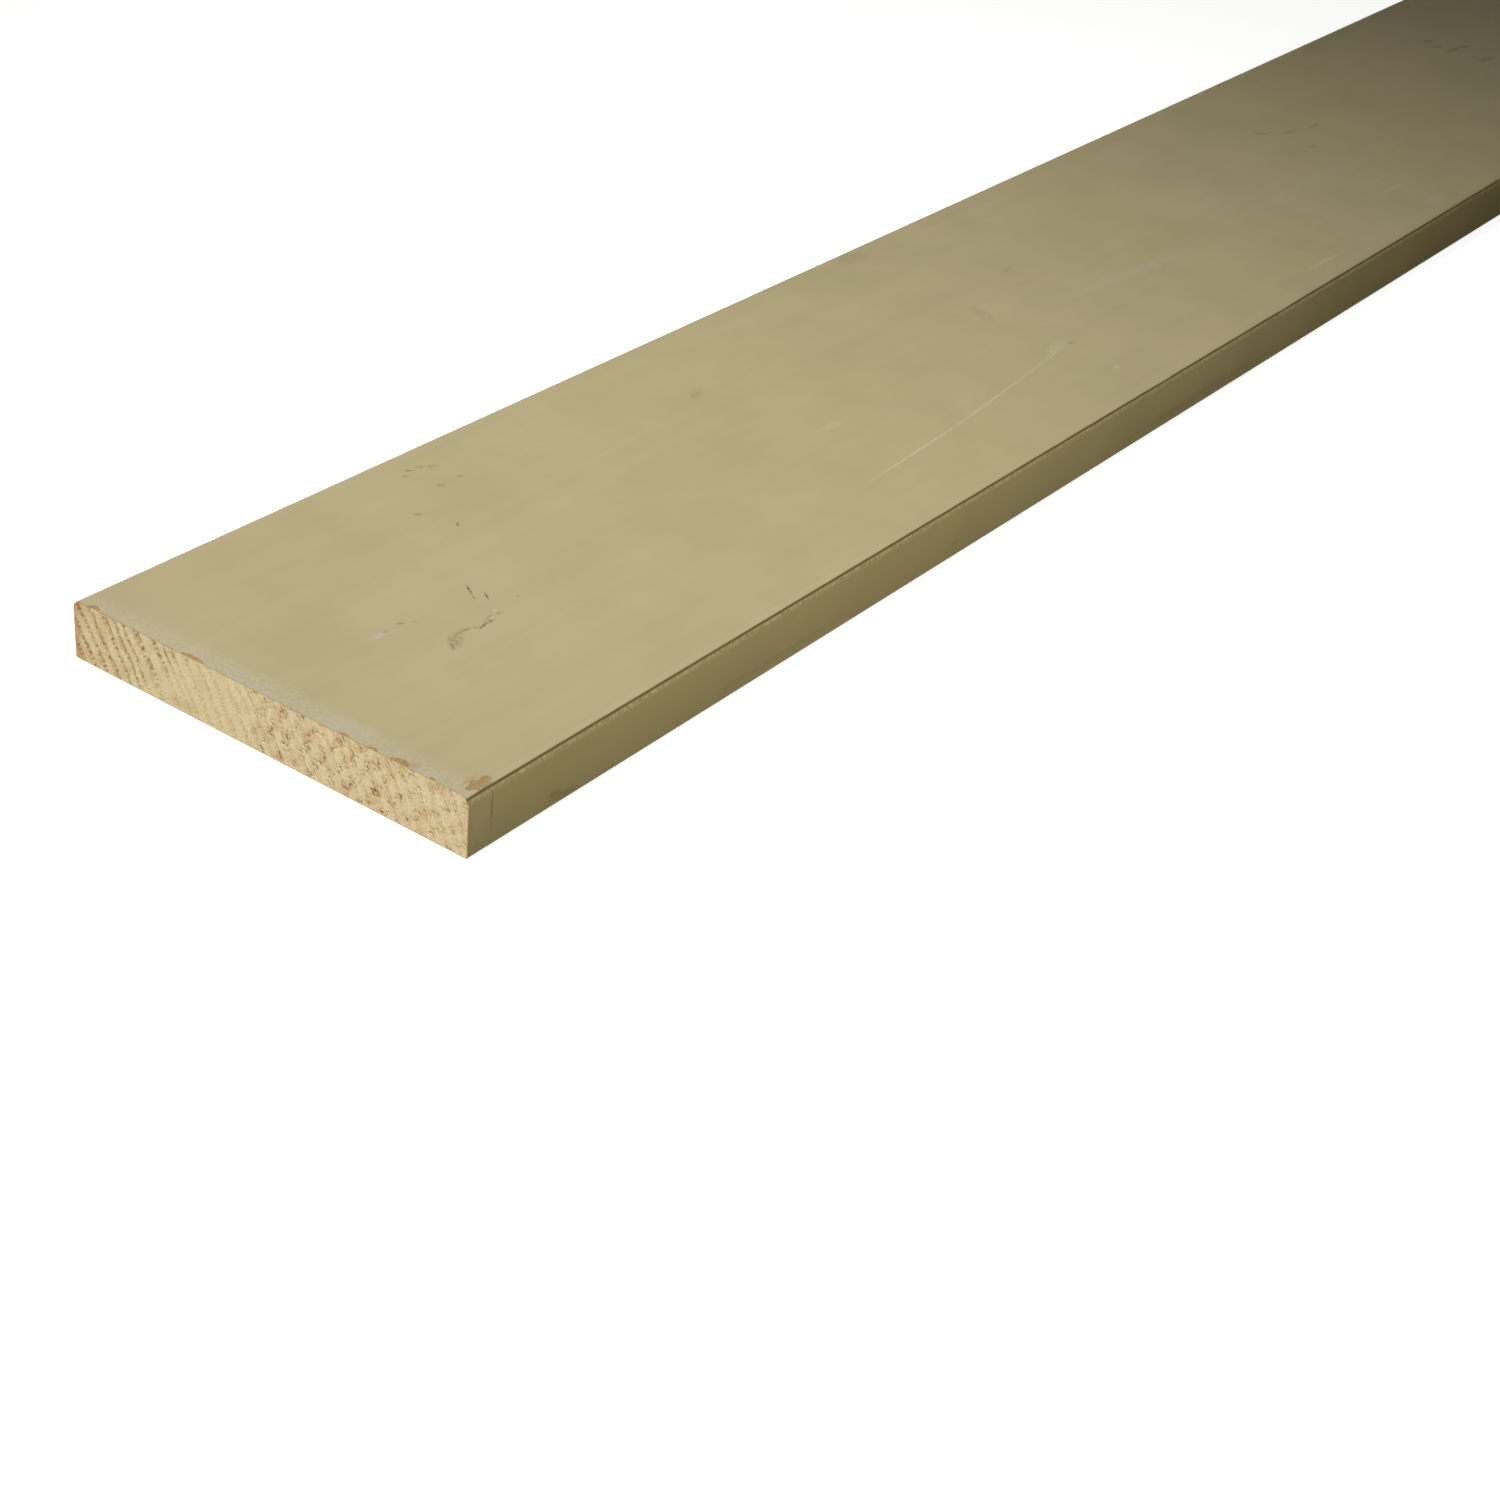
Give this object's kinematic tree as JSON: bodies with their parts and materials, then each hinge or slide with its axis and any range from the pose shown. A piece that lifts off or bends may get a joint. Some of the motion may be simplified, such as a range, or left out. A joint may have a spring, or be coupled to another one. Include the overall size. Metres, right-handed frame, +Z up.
{
  "type": "primed softwood board",
  "caption": "Planed softwood board with a matt olive-beige primer on its long faces, eased face arrises and bare sawn ends.",
  "frame": {"origin": "centre of the underside", "axes": "+X along the board away from the chipped end, +Y across the board, +Z up out of the primed face"},
  "size_m": [1.2, 0.148, 0.019],
  "materials": {
    "softwood": "sawn ends, planed faces",
    "knot_wood": "dense resinous knot",
    "primer": "matt factory primer"
  },
  "bodies": {
    "root": {"timber": "softwood", "knot_near": "knot_wood", "knot_middle": "knot_wood", "knot_far": "knot_wood", "face_coat": "primer", "right_edge_coat": "primer", "left_edge_coat": "primer", "underside_coat": "primer"}
  },
  "joints": []
}
